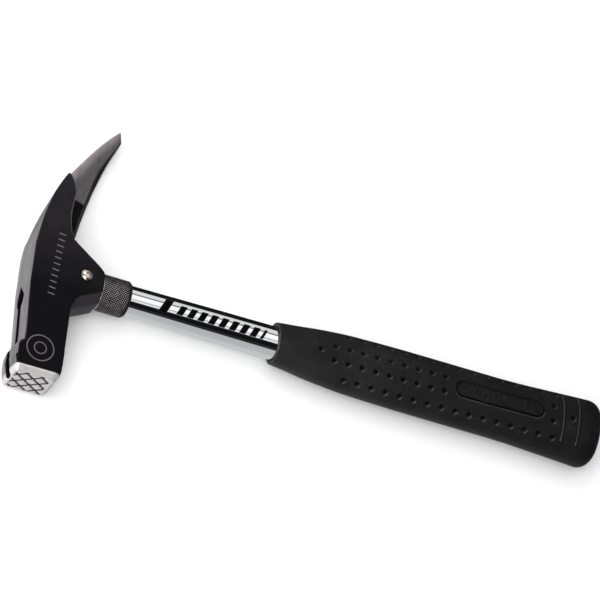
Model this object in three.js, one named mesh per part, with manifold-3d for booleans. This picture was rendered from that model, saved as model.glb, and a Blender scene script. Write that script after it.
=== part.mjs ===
// A roofer's hammer. The forged head has a square checkered face, a magnetic nail holder along
// its top, a claw tooth and a long spike. A pin holds it on a chromed steel tube, which carries
// a knurled steel collar and a rubber grip.
//
// Millimetres. The hammer lies on its far cheek. X runs along the handle to the butt, Y from the
// striking face to the spike, and Z up through the two cheeks. Every shape is laid out from a
// point on the handle axis, beside the head pin, and the whole is shifted at the end, so that the
// origin is the middle of the underside of its box.

import * as THREE from 'three';
import { ConvexGeometry } from 'three/addons/geometries/ConvexGeometry.js';
import { mergeVertices } from 'three/addons/utils/BufferGeometryUtils.js';
import Module from 'manifold-3d';

const wasm = await Module();
wasm.setup();

// Clearance between pieces that touch, and how far a cutter runs past what it cuts
const GAP = 0.3;
const BEYOND = 40;

// Head, across the cheeks (Z), along its length (Y) and down its depth (X)
const CHEEK = 12.5;
const TOP_X = -30.4;
const FACE_Y = -67;
const FACE_BEVEL = 2.6;
const POLL_TOP_X = -33.4;
const POLL_BOTTOM_X = -5.8;
const POLL_CORNER = 3.4;
const POLL_LENGTH = 19;
const BAR_END_Y = -60;

// The claw: the tooth's back and the spike's are arcs that rise from the flat top
const TOOTH_BACK = { x: 80.1, y: 10.5, radius: 110, startY: 21 };
const SPIKE_BACK = { x: 142.2, y: -10.9, radius: 174, startY: 17 };
const TOP_END_Y = 12;
const TOOTH_TIP_Y = 60.6;
const SPIKE_TIP_Y = 106.1;
const SPIKE_NEAR_Z = -3;
const SPIKE_DRAFT = 3.5;
const DRAFT_RUN = 8;
const DRAFT_START_Y = 27;
const SPIKE_TAPER_START_Y = 60;
const SPIKE_TIP_FAR_Z = -5.5;
const SPIKE_END = { x: 12.6, y: 104.3, outward: [0.9, 0.13, 0.42] };

// The boss that the handle plugs into, as [x, half wall below, half wall above] stations.
// A wall is BOSS_WALL_Z half wide, and chamfers of BOSS_CHAMFER join it to the cheeks.
const BOSS_END_X = 11;
const BOSS_WALL_Z = 6.2;
const BOSS_CHAMFER = 5.2;
const BOSS_STATIONS = [
  [BOSS_END_X, 10.6, 10.4],
  [7, 13, 14.2],
  [-8, 20.7, 25.2],
];

// Head pin, across the head and through the handle
const PIN_X = 0.7;
const PIN_Y = 1;
const PIN_RADIUS = 2.4;
const PIN_HEAD_RADIUS = 3.6;
const PIN_SEAT_Z = 11.8;
const PIN_RIM = 0.4;
const PIN_DOME_HEIGHT = 2;
const PIN_FAR_Z = -12.2;

// Nail holder: a shank groove and a wider pocket for the nail's head, over a magnet, and an open
// notch in the poll whose floor rises from the groove's to the edge of the striking face
const GROOVE_HALF_WIDTH = 2.5;
const GROOVE_FLOOR_X = -25.6;
const NOTCH_HALF_WIDTH = 3;
const NOTCH_START_Y = -55;
const NOTCH_FACE_X = -30.8;
const MAGNET_Y = -17.5;
const POCKET_HALF_LENGTH = 7;
const POCKET_HALF_WIDTH = 5.6;
const MAGNET_RADIUS = 3;
const MAGNET_DEPTH = 4;
const CUP_WALL = 0.8;

// Checkered face
const CHECK_PITCH = 5.7;
const CHECK_WIDTH = 0.9;
const CHECK_DEPTH = 0.8;
const CHECK_LINES = 5;

// Handle tube and what fits on and in it
const EYE_END_X = -17;
const TUBE_START_X = -16.5;
const TUBE_END_X = 300;
const TUBE_RADIUS = 8.5;
const TUBE_GRIP_RADIUS = 9.4;
const TUBE_TAPER_START_X = 29;
const TUBE_TAPER_END_X = 112;
const TUBE_WALL = 1.5;
const CORE_END_X = 45;
const PLUG_START_X = 284;
const PLUG_FLANGE = 2.4;
const PLUG_LEAD = { length: 2, depth: 1 };
const COLLAR_END_X = 28.5;
const COLLAR_RADIUS = 10.4;
const COLLAR_CHAMFER = { length: 1.5, depth: 0.7 };

// Rubber grip: half height (Y) and half thickness (Z) at stations along the handle. Its far side
// is never lower than the head's far cheek.
const GRIP_START_X = 117;
const GRIP_END_X = 316;
const GRIP_BUTT_RADIUS = 8;
const GRIP_BUTT_SLANT = 0.06;
const GRIP_FRONT_CHAMFER = 0.8;
const GRIP_THICKNESS_STATIONS = [
  [GRIP_START_X, 11.8],
  [150, 11.4],
  [250, 12.3],
  [296, 13.8],
  [GRIP_END_X, 13.8],
];
const GRIP_STATIONS = [
  [GRIP_START_X, 11.8],
  [128, 13.3],
  [144, 15.7],
  [160, 17.2],
  [192, 18],
  [250, 18],
  [272, 18.8],
  [290, 19.8],
  [GRIP_END_X, 21.4],
];
const GRIP_STEPS = 24;

const COLOURS = {
  paint: { color: 0x1c1b1e, roughness: 0.45, metalness: 0.1 },
  bare: { color: 0x96918f, roughness: 0.35, metalness: 1 },
  dark: { color: 0x463e40, roughness: 0.5, metalness: 0.8 },
  chrome: { color: 0xd8dade, roughness: 0.08, metalness: 1 },
  rubber: { color: 0x242323, roughness: 0.6, metalness: 0 },
  magnet: { color: 0x5a5a5c, roughness: 0.4, metalness: 0.9 },
  plastic: { color: 0x17171a, roughness: 0.5, metalness: 0 },
  wood: { color: 0xb08a58, roughness: 0.7, metalness: 0 },
};

// ---- solids -------------------------------------------------------------------------------

// A three.js geometry as a solid that can be cut and joined
function toSolid(geometry) {
  const bare = geometry.clone();
  bare.deleteAttribute('normal');
  bare.deleteAttribute('uv');
  const merged = mergeVertices(bare, 1e-4);
  const corners = merged.index.array;
  const triangles = [];
  for (let i = 0; i < corners.length; i += 3) {
    const [a, b, c] = corners.slice(i, i + 3);
    if (a !== b && b !== c && c !== a) {
      triangles.push(a, b, c);
    }
  }
  const mesh = new wasm.Mesh({
    numProp: 3,
    vertProperties: merged.attributes.position.array,
    triVerts: Uint32Array.from(triangles),
  });
  return new wasm.Manifold(mesh);
}

function toGeometry(solid) {
  const mesh = solid.getMesh();
  const geometry = new THREE.BufferGeometry();
  geometry.setAttribute('position', new THREE.BufferAttribute(mesh.vertProperties, 3));
  geometry.setIndex(new THREE.BufferAttribute(mesh.triVerts, 1));
  geometry.computeVertexNormals();
  return geometry;
}

// A flat outline in X and Y, made into a plate between two heights
function plate(shape, zLow, zHigh) {
  const options = { depth: zHigh - zLow, bevelEnabled: false, curveSegments: 12 };
  return new THREE.ExtrudeGeometry(shape, options).translate(0, 0, zLow);
}

// An outline in Y and Z, made into a prism along X
function prismAlongX(shape, xLow, xHigh) {
  const turn = new THREE.Matrix4().makeBasis(
    new THREE.Vector3(0, 1, 0),
    new THREE.Vector3(0, 0, 1),
    new THREE.Vector3(1, 0, 0),
  );
  return plate(shape, xLow, xHigh).applyMatrix4(turn);
}

function block(xLow, xHigh, yLow, yHigh, zLow, zHigh) {
  const box = new THREE.BoxGeometry(xHigh - xLow, yHigh - yLow, zHigh - zLow);
  return box.translate((xLow + xHigh) / 2, (yLow + yHigh) / 2, (zLow + zHigh) / 2);
}

// A solid turned about the handle axis; its profile is a list of [x, radius]
function turned(profile, segments) {
  const points = profile.map(([x, radius]) => new THREE.Vector2(radius, x));
  return new THREE.LatheGeometry(points, segments).rotateZ(-Math.PI / 2);
}

// A rod along the handle axis
function rod(xLow, xHigh, radius, segments = 40) {
  return turned([[xLow, 0], [xLow, radius], [xHigh, radius], [xHigh, 0]], segments);
}

// Stands a turned piece across the head, on the pin's centre line
function acrossHead(geometry) {
  return geometry.rotateY(-Math.PI / 2).translate(PIN_X, PIN_Y, 0);
}

function crossRod(zLow, zHigh, radius) {
  return acrossHead(rod(zLow, zHigh, radius, 24));
}

// Everything on the side of a plane that its normal points to
function halfSpace(point, normal) {
  const size = 400;
  const box = new THREE.BoxGeometry(size, size, size).translate(0, 0, size / 2);
  const turn = new THREE.Quaternion().setFromUnitVectors(new THREE.Vector3(0, 0, 1), normal);
  return box.applyQuaternion(turn).translate(point.x, point.y, point.z);
}

// ---- head ---------------------------------------------------------------------------------

// Angle on a back arc at a given Y, measured at the arc's centre
function backAngle(back, y) {
  return Math.PI - Math.asin((y - back.y) / back.radius);
}

function backX(back, y) {
  return back.x + back.radius * Math.cos(backAngle(back, y));
}

// Underside of the bar, the fillet into the boss, and the boss's flat cheek
function traceUnderside(shape) {
  shape.moveTo(POLL_BOTTOM_X, BAR_END_Y);
  shape.lineTo(-5.8, -31);
  shape.lineTo(-6.1, -20.5);
  shape.quadraticCurveTo(-5, -12.8, 0.4, -10.4);
  shape.lineTo(9.8, -5.8);
  shape.quadraticCurveTo(BOSS_END_X, -5, BOSS_END_X, -3);
  shape.lineTo(BOSS_END_X, 3.4);
  shape.quadraticCurveTo(10.6, 6.6, 7, 9.6);
  shape.lineTo(-8.4, 20.8);
}

// Back arc from a tip down to the flat top, then along the top to the poll
function traceBack(shape, back, tipY) {
  const tipAngle = backAngle(back, tipY);
  shape.absarc(back.x, back.y, back.radius, tipAngle, backAngle(back, back.startY), false);
  shape.lineTo(TOP_X, TOP_END_Y);
  shape.lineTo(TOP_X - 0.2, -12);
  shape.lineTo(-28.9, -42);
  shape.lineTo(-28.9, BAR_END_Y);
  shape.closePath();
}

// Outline of the near half, which ends in the short tooth with its hollowed inner edge
function toothOutline() {
  const shape = new THREE.Shape();
  traceUnderside(shape);
  shape.quadraticCurveTo(-12.4, 26, -12.5, 36);
  shape.quadraticCurveTo(-12.3, 41, -11.6, 48.4);
  shape.quadraticCurveTo(-11.6, 56, backX(TOOTH_BACK, TOOTH_TIP_Y), TOOTH_TIP_Y);
  traceBack(shape, TOOTH_BACK, TOOTH_TIP_Y);
  return shape;
}

// Outline of the far half, which ends in the spike
function spikeOutline() {
  const shape = new THREE.Shape();
  traceUnderside(shape);
  shape.quadraticCurveTo(-3.4, 25, -1.2, 38.7);
  shape.quadraticCurveTo(2.8, 62, 11, 84.6);
  shape.lineTo(17.8, 101);
  shape.lineTo(backX(SPIKE_BACK, SPIKE_TIP_Y), SPIKE_TIP_Y);
  traceBack(shape, SPIKE_BACK, SPIKE_TIP_Y);
  return shape;
}

// The spike's underside slopes: it is narrower at the spike's near face than at its far one
function draftSpike(geometry) {
  const position = geometry.attributes.position;
  for (let i = 0; i < position.count; i += 1) {
    const y = position.getY(i);
    const fromBack = position.getX(i) - backX(SPIKE_BACK, y);
    if (y > DRAFT_START_Y && position.getZ(i) > SPIKE_NEAR_Z - GAP) {
      const share = THREE.MathUtils.clamp(fromBack / DRAFT_RUN, 0, 1);
      position.setX(i, position.getX(i) - SPIKE_DRAFT * share);
    }
  }
  return geometry;
}

// The spike is tapered on its far side, and its end is ground off at a slant
function spikeSolid() {
  const blank = draftSpike(plate(spikeOutline(), -CHEEK, SPIKE_NEAR_Z));
  const run = SPIKE_TIP_Y - SPIKE_TAPER_START_Y;
  const rise = SPIKE_TIP_FAR_Z + CHEEK;
  const start = new THREE.Vector3(0, SPIKE_TAPER_START_Y, -CHEEK);
  const outward = new THREE.Vector3(0, rise, -run).normalize();
  const end = new THREE.Vector3(SPIKE_END.x, SPIKE_END.y, SPIKE_NEAR_Z);
  const endOutward = new THREE.Vector3(...SPIKE_END.outward).normalize();
  const tapered = toSolid(blank).subtract(toSolid(halfSpace(start, outward)));
  return tapered.subtract(toSolid(halfSpace(end, endOutward)));
}

// The nail-pulling slot between the tooth and the spike, a V that is widest at the tips
function clawSlot() {
  const shape = new THREE.Shape();
  shape.moveTo(28, 0.9);
  shape.lineTo(28, -0.6);
  shape.lineTo(36, SPIKE_NEAR_Z - GAP);
  shape.lineTo(TOOTH_TIP_Y + 5, SPIKE_NEAR_Z - GAP);
  shape.lineTo(TOOTH_TIP_Y + 5, 5);
  shape.closePath();
  return prismAlongX(shape, -BEYOND, BEYOND);
}

// A rectangle with round corners, in X and Z, centred on Z zero
function roundedRectangle(xLow, xHigh, halfHeight, radius) {
  const shape = new THREE.Shape();
  const right = xHigh - radius;
  const left = xLow + radius;
  const top = halfHeight - radius;
  const quarter = Math.PI / 2;
  shape.absarc(right, -top, radius, -quarter, 0, false);
  shape.absarc(right, top, radius, 0, quarter, false);
  shape.absarc(left, top, radius, quarter, 2 * quarter, false);
  shape.absarc(left, -top, radius, 2 * quarter, 3 * quarter, false);
  shape.closePath();
  return shape;
}

// Square poll with rounded corners, and a bevel round the striking face
function pollBlock() {
  const shape = roundedRectangle(POLL_TOP_X, POLL_BOTTOM_X, CHEEK, POLL_CORNER);
  const geometry = new THREE.ExtrudeGeometry(shape, {
    depth: POLL_LENGTH - 2 * FACE_BEVEL,
    bevelThickness: FACE_BEVEL,
    bevelSize: FACE_BEVEL,
    bevelOffset: -FACE_BEVEL,
    bevelSegments: 1,
    curveSegments: 3,
  });
  const turn = new THREE.Matrix4().makeBasis(
    new THREE.Vector3(1, 0, 0),
    new THREE.Vector3(0, 0, 1),
    new THREE.Vector3(0, -1, 0),
  );
  return geometry.applyMatrix4(turn).translate(0, FACE_Y + POLL_LENGTH - FACE_BEVEL, 0);
}

// The boss tapers towards the handle, with chamfers between its walls and the cheeks
function bossHull() {
  const corners = [];
  for (const [x, below, above] of BOSS_STATIONS) {
    for (const side of [-1, 1]) {
      corners.push(new THREE.Vector3(x, -below, side * BOSS_WALL_Z));
      corners.push(new THREE.Vector3(x, above, side * BOSS_WALL_Z));
      corners.push(new THREE.Vector3(x, BOSS_CHAMFER - below, side * CHEEK));
      corners.push(new THREE.Vector3(x, above - BOSS_CHAMFER, side * CHEEK));
    }
  }
  return new ConvexGeometry(corners);
}

// Shank groove, nail-head pocket, the magnet's hole and the open notch in the poll's edge
function nailHolderCuts() {
  const pocket = new THREE.Shape();
  pocket.absellipse(MAGNET_Y, 0, POCKET_HALF_LENGTH, POCKET_HALF_WIDTH, 0, 2 * Math.PI, false);
  const hole = new THREE.Shape();
  hole.absarc(MAGNET_Y, 0, MAGNET_RADIUS + CUP_WALL + 2 * GAP, 0, 2 * Math.PI, false);
  const holeFloor = GROOVE_FLOOR_X + MAGNET_DEPTH + CUP_WALL + 2 * GAP;
  const half = GROOVE_HALF_WIDTH;
  const notch = new THREE.Shape();
  notch.moveTo(-BEYOND, NOTCH_START_Y);
  notch.lineTo(-BEYOND, FACE_Y - BEYOND);
  notch.lineTo(NOTCH_FACE_X, FACE_Y - BEYOND);
  notch.lineTo(NOTCH_FACE_X, FACE_Y);
  notch.lineTo(GROOVE_FLOOR_X, NOTCH_START_Y);
  notch.closePath();
  return [
    block(-BEYOND, GROOVE_FLOOR_X, NOTCH_START_Y - GAP, MAGNET_Y, -half, half),
    plate(notch, -NOTCH_HALF_WIDTH, NOTCH_HALF_WIDTH),
    prismAlongX(pocket, -BEYOND, GROOVE_FLOOR_X),
    prismAlongX(hole, -BEYOND, holeFloor),
  ];
}

// Two crossing families of grooves on the striking face
function checkerCuts() {
  const middle = (POLL_TOP_X + POLL_BOTTOM_X) / 2;
  const length = 2 * (CHEEK - FACE_BEVEL);
  const cuts = [];
  for (const lean of [-1, 1]) {
    for (let line = 0; line < CHECK_LINES; line += 1) {
      const offset = (line - (CHECK_LINES - 1) / 2) * CHECK_PITCH;
      const span = (length - Math.abs(offset)) * Math.SQRT1_2;
      const groove = block(-span, span, -CHECK_DEPTH, 1, -CHECK_WIDTH / 2, CHECK_WIDTH / 2);
      groove.translate(0, 0, offset);
      groove.rotateX(Math.PI).rotateY((lean * Math.PI) / 4);
      cuts.push(groove.translate(middle, FACE_Y, 0));
    }
  }
  return cuts;
}

function headForging() {
  const near = toSolid(plate(toothOutline(), -CHEEK, CHEEK)).subtract(toSolid(clawSlot()));
  let head = near.add(spikeSolid());
  head = head.add(toSolid(pollBlock()));
  head = head.add(toSolid(bossHull()));
  const seat = crossRod(PIN_SEAT_Z - GAP, BEYOND, PIN_HEAD_RADIUS + 2 * GAP);
  const cuts = [
    rod(EYE_END_X, BEYOND, TUBE_RADIUS + GAP),
    crossRod(-BEYOND, BEYOND, PIN_RADIUS + GAP),
    seat,
    ...nailHolderCuts(),
    ...checkerCuts(),
  ];
  for (const cut of cuts) {
    head = head.subtract(toSolid(cut));
  }
  return toGeometry(head);
}

// ---- pin, magnet and collar ---------------------------------------------------------------

// Domed rivet head on a plain shank, whose far end stops just inside the far cheek
function headPin() {
  const profile = [
    [PIN_FAR_Z, 0],
    [PIN_FAR_Z, PIN_RADIUS],
    [PIN_SEAT_Z, PIN_RADIUS],
    [PIN_SEAT_Z, PIN_HEAD_RADIUS],
  ];
  const domeStart = PIN_SEAT_Z + PIN_RIM;
  const domeSteps = 5;
  for (let step = 0; step < domeSteps; step += 1) {
    const angle = (step / domeSteps) * (Math.PI / 2);
    profile.push([domeStart + PIN_DOME_HEIGHT * Math.sin(angle), PIN_HEAD_RADIUS * Math.cos(angle)]);
  }
  profile.push([domeStart + PIN_DOME_HEIGHT, 0]);
  return acrossHead(turned(profile, 24));
}

// Round magnet, its face level with the groove's floor
function nailMagnet() {
  const magnet = rod(GROOVE_FLOOR_X, GROOVE_FLOOR_X + MAGNET_DEPTH, MAGNET_RADIUS, 24);
  return magnet.translate(0, MAGNET_Y, 0);
}

// Plastic cup that holds the magnet clear of the steel round it
function magnetCup() {
  const inside = MAGNET_RADIUS + GAP;
  const rim = GROOVE_FLOOR_X + GAP;
  const floor = GROOVE_FLOOR_X + MAGNET_DEPTH + GAP;
  const profile = [
    [floor, 0],
    [floor, inside],
    [rim, inside],
    [rim, inside + CUP_WALL],
    [floor + CUP_WALL, inside + CUP_WALL],
    [floor + CUP_WALL, 0],
  ];
  return turned(profile, 24).translate(0, MAGNET_Y, 0);
}

function knurledCollar() {
  const start = BOSS_END_X + GAP;
  const bore = TUBE_RADIUS + GAP;
  const profile = [
    [start, bore],
    [start, COLLAR_RADIUS],
    [COLLAR_END_X - COLLAR_CHAMFER.length, COLLAR_RADIUS],
    [COLLAR_END_X, COLLAR_RADIUS - COLLAR_CHAMFER.depth],
    [COLLAR_END_X, bore],
    [start, bore],
  ];
  return turned(profile, 56);
}

// ---- handle -------------------------------------------------------------------------------

function handleTube() {
  const inner = TUBE_RADIUS - TUBE_WALL;
  const gripInner = TUBE_GRIP_RADIUS - TUBE_WALL;
  const profile = [
    [TUBE_START_X, inner],
    [TUBE_START_X, TUBE_RADIUS],
    [TUBE_TAPER_START_X, TUBE_RADIUS],
    [TUBE_TAPER_END_X, TUBE_GRIP_RADIUS],
    [TUBE_END_X, TUBE_GRIP_RADIUS],
    [TUBE_END_X, gripInner],
    [TUBE_TAPER_END_X, gripInner],
    [TUBE_TAPER_START_X, inner],
    [TUBE_START_X, inner],
  ];
  const pinHole = crossRod(-BEYOND, BEYOND, PIN_RADIUS + GAP);
  return toGeometry(toSolid(turned(profile, 40)).subtract(toSolid(pinHole)));
}

// Hardwood dowel that backs the tube where the pin goes through it
function tubeCore() {
  const start = TUBE_START_X;
  const radius = TUBE_RADIUS - TUBE_WALL - GAP;
  const dowel = rod(start, CORE_END_X, radius, 32);
  const pinHole = crossRod(-BEYOND, BEYOND, PIN_RADIUS + GAP);
  return toGeometry(toSolid(dowel).subtract(toSolid(pinHole)));
}

// Flanged plug in the tube's open end, so that the tube doesn't cut through the grip
function tubeEndPlug() {
  const stem = TUBE_GRIP_RADIUS - TUBE_WALL - GAP;
  const flangeStart = TUBE_END_X + GAP;
  const profile = [
    [PLUG_START_X, 0],
    [PLUG_START_X, stem - PLUG_LEAD.depth],
    [PLUG_START_X + PLUG_LEAD.length, stem],
    [flangeStart, stem],
    [flangeStart, TUBE_GRIP_RADIUS],
    [flangeStart + PLUG_FLANGE, TUBE_GRIP_RADIUS],
    [flangeStart + PLUG_FLANGE, 0],
  ];
  return turned(profile, 32);
}

// A smooth line through stations of [x, size], read at any x
function smoothLine(stations) {
  const curve = new THREE.SplineCurve(stations.map(([x, size]) => new THREE.Vector2(x, size)));
  const points = curve.getSpacedPoints(GRIP_STEPS);
  const read = (x) => {
    const next = Math.max(points.findIndex((point) => point.x >= x - 1e-6), 1);
    const low = points[next - 1];
    const high = points[next];
    return THREE.MathUtils.mapLinear(x, low.x, high.x, low.y, high.y);
  };
  return { points, read };
}

// The grip swells from its round front rim to a flattened palm section and a flared butt
function gripSleeve() {
  const height = smoothLine(GRIP_STATIONS);
  const thickness = smoothLine(GRIP_THICKNESS_STATIONS);
  const roundStart = GRIP_END_X - GRIP_BUTT_RADIUS;
  const frontHeight = GRIP_STATIONS[0][1];
  const profile = [[GRIP_START_X, 0], [GRIP_START_X, frontHeight - GRIP_FRONT_CHAMFER]];
  for (const point of height.points) {
    if (point.x < roundStart - 1) {
      profile.push([Math.max(point.x, GRIP_START_X + GRIP_FRONT_CHAMFER), point.y]);
    }
  }
  const roundSteps = 5;
  for (let step = 0; step <= roundSteps; step += 1) {
    const angle = (step / roundSteps) * (Math.PI / 2);
    const x = roundStart + GRIP_BUTT_RADIUS * Math.sin(angle);
    profile.push([x, height.read(x) - GRIP_BUTT_RADIUS * (1 - Math.cos(angle))]);
  }
  profile.push([GRIP_END_X, 0]);
  const body = turned(profile, 48);
  const position = body.attributes.position;
  const buttHalfHeight = GRIP_STATIONS.at(-1)[1];
  for (let i = 0; i < position.count; i += 1) {
    const x = position.getX(i);
    const limit = position.getZ(i) < 0 ? CHEEK : CHEEK + PIN_DOME_HEIGHT;
    const halfThickness = Math.min(thickness.read(x), limit);
    position.setZ(i, position.getZ(i) * Math.min(halfThickness / height.read(x), 1));
    if (x > roundStart - 1) {
      position.setX(i, x + GRIP_BUTT_SLANT * (position.getY(i) - buttHalfHeight));
    }
  }
  const boreEnd = TUBE_END_X + PLUG_FLANGE + 2 * GAP;
  const bore = rod(GRIP_START_X - BEYOND, boreEnd, TUBE_GRIP_RADIUS + GAP, 40);
  return toGeometry(toSolid(body).subtract(toSolid(bore)));
}

// ---- assembly -----------------------------------------------------------------------------

function piece(name, geometry, look) {
  const mesh = new THREE.Mesh(geometry, new THREE.MeshStandardMaterial(look));
  mesh.name = name;
  return mesh;
}

const hammer = new THREE.Group();
hammer.add(
  piece('head_forging', headForging(), COLOURS.paint),
  piece('head_pin', headPin(), COLOURS.bare),
  piece('nail_magnet', nailMagnet(), COLOURS.magnet),
  piece('magnet_cup', magnetCup(), COLOURS.plastic),
  piece('knurled_collar', knurledCollar(), COLOURS.dark),
  piece('handle_tube', handleTube(), COLOURS.chrome),
  piece('tube_core', tubeCore(), COLOURS.wood),
  piece('tube_end_plug', tubeEndPlug(), COLOURS.plastic),
  piece('grip_sleeve', gripSleeve(), COLOURS.rubber),
);

// Origin at the middle of the underside of the box
const box = new THREE.Box3().setFromObject(hammer);
const middle = box.getCenter(new THREE.Vector3());
hammer.position.set(-middle.x, -middle.y, -box.min.z);

export default hammer;
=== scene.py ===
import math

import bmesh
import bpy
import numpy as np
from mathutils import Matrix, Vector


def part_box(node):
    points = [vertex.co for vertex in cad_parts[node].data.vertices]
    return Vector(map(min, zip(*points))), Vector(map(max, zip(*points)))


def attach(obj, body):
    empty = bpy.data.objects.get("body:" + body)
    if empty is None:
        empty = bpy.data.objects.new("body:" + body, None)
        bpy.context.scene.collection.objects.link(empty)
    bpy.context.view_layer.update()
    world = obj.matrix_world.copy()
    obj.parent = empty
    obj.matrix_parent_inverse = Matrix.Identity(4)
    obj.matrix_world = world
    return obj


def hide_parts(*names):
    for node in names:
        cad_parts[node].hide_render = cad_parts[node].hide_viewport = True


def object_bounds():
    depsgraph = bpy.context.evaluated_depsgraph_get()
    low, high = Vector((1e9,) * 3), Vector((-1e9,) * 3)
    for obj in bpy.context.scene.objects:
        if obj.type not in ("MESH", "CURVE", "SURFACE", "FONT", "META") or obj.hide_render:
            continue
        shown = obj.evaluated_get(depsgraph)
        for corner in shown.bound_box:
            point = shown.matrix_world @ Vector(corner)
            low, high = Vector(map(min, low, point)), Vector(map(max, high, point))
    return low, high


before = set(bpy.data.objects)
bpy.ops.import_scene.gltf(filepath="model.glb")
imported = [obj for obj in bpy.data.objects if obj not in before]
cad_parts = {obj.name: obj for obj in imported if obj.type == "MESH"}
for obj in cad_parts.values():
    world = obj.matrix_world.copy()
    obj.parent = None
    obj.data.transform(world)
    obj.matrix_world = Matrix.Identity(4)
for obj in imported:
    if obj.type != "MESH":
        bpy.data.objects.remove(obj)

# A roofer's hammer in its finished looks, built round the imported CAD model.
#
# The head is modelled as a distance field and meshed at a fine, even pitch, so that its edges
# and fillets are really round. The grip and the collar are grids over their own surfaces, which
# carry the moulded dimples and the knurl. Everything else is turned.
#
# Shapes are worked out in millimetres from a point on the handle axis beside the head's pin: X
# towards the butt, Y from the striking face to the spike, Z up through the cheeks.

CAD_BOUNDS = [list(corner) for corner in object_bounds()]

MM = 0.001
TAU = 2 * math.pi

# ---- places taken from the frame -------------------------------------------------------------

pin_low, pin_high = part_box("head_pin")
head_low, head_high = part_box("head_forging")
tube_low, tube_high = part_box("handle_tube")
PIN_X = 0.7
ORIGIN = np.array([
    (pin_low.x + pin_high.x) / 2 - PIN_X * MM,
    (tube_low.y + tube_high.y) / 2,
    (head_low.z + head_high.z) / 2,
])


def span(node, axis):
    """Lowest and highest place of a CAD node along an axis, in millimetres from the origin."""
    low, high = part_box(node)
    return (low[axis] - ORIGIN[axis]) / MM, (high[axis] - ORIGIN[axis]) / MM


GAP = 0.3
TUBE_WALL = 1.5
POLL_TOP, SPIKE_LOW_X = span("head_forging", 0)
FACE, SPIKE_TIP = span("head_forging", 1)
CHEEK = span("head_forging", 2)[1]
COLLAR_START, COLLAR_END = span("knurled_collar", 0)
BOSS_END = COLLAR_START - GAP
COLLAR_RADIUS = span("knurled_collar", 1)[1]
TUBE_START, TUBE_END = span("handle_tube", 0)
TUBE_GRIP_RADIUS = span("handle_tube", 1)[1]
GRIP_START, GRIP_END = span("grip_sleeve", 0)
GRIP_HALF_HEIGHT = span("grip_sleeve", 1)[1]
PIN_FAR, PIN_TOP = span("head_pin", 2)
PIN_Y = sum(span("head_pin", 1)) / 2
PIN_HEAD_RADIUS = span("head_pin", 1)[1] - PIN_Y
MAGNET_LOW, MAGNET_HIGH = span("nail_magnet", 0)
MAGNET_Y = sum(span("nail_magnet", 1)) / 2
MAGNET_RADIUS = span("nail_magnet", 2)[1]
CUP_LOW, CUP_HIGH = span("magnet_cup", 0)
CUP_RADIUS = span("magnet_cup", 2)[1]
CORE_START, CORE_END = span("tube_core", 0)
CORE_RADIUS = span("tube_core", 1)[1]
BORE_RADIUS = CORE_RADIUS + (TUBE_WALL + 2 * GAP)
PLUG_START, PLUG_END = span("tube_end_plug", 0)

# ---- finish of the meshes --------------------------------------------------------------------

HEAD_CELL = 0.36
GRIP_STEP = 0.35
KNURL_STEP = 0.16


def mesh_object(name, points, faces, attributes=None, face_out=False):
    """A smooth mesh from points in millimetres, with one number a point for each attribute."""
    mesh = bpy.data.meshes.new(name)
    mesh.from_pydata((np.asarray(points) * MM + ORIGIN).tolist(), [], faces)
    for key, values in (attributes or {}).items():
        layer = mesh.attributes.new(key, "FLOAT", "POINT")
        layer.data.foreach_set("value", np.asarray(values, np.float32))
    mesh.validate()
    if face_out:
        # merge points that meet, and turn every face to face out
        work = bmesh.new()
        work.from_mesh(mesh)
        bmesh.ops.remove_doubles(work, verts=work.verts, dist=1e-7)
        bmesh.ops.recalc_face_normals(work, faces=work.faces)
        work.to_mesh(mesh)
        work.free()
    mesh.polygons.foreach_set("use_smooth", [True] * len(mesh.polygons))
    piece = bpy.data.objects.new(name, mesh)
    bpy.context.scene.collection.objects.link(piece)
    return piece


def show(piece, node, material):
    """A finished piece stands for its CAD node and rides with the object's one body."""
    piece.data.materials.append(material)
    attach(piece, "root")
    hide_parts(node)
    return piece


# ---- distance fields -------------------------------------------------------------------------

def join(a, b, radius):
    """Union with a fillet of that radius in the corner between the two."""
    corner = np.hypot(np.maximum(radius - a, 0), np.maximum(radius - b, 0))
    return np.maximum(radius, np.minimum(a, b)) - corner


def common(a, b, radius):
    """What two shapes share, with its edge rounded to that radius."""
    corner = np.hypot(np.maximum(radius + a, 0), np.maximum(radius + b, 0))
    return np.minimum(-radius, np.maximum(a, b)) + corner


def cut(a, b, radius):
    return common(a, -b, radius)


def smooth_step(low, high, x):
    t = np.clip((x - low) / (high - low), 0, 1)
    return t * t * (3 - 2 * t)


def outline_distance(points, x, y):
    """Signed distance to a closed outline, negative inside."""
    nearest = np.full(np.broadcast(x, y).shape, 1e9, np.float32)
    inside = np.zeros(nearest.shape, bool)
    for (ax, ay), (bx, by) in zip(points, points[1:] + points[:1]):
        ex, ey = bx - ax, by - ay
        along = np.clip(((x - ax) * ex + (y - ay) * ey) / (ex * ex + ey * ey), 0, 1)
        gap = (x - ax - ex * along) ** 2 + (y - ay - ey * along) ** 2
        nearest = np.minimum(nearest, gap)
        if ey:
            inside ^= ((ay > y) != (by > y)) & (x < ex * (y - ay) / ey + ax)
    return np.where(inside, -1, 1) * np.sqrt(nearest)


def bend(start, control, end, steps=10):
    """Points on a quadratic curve, without its start."""
    t = np.linspace(0, 1, steps + 1)[1:, None]
    start, control, end = (np.array(p, float) for p in (start, control, end))
    curve = (1 - t) ** 2 * start + 2 * t * (1 - t) * control + t ** 2 * end
    return [tuple(p) for p in curve]


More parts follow.
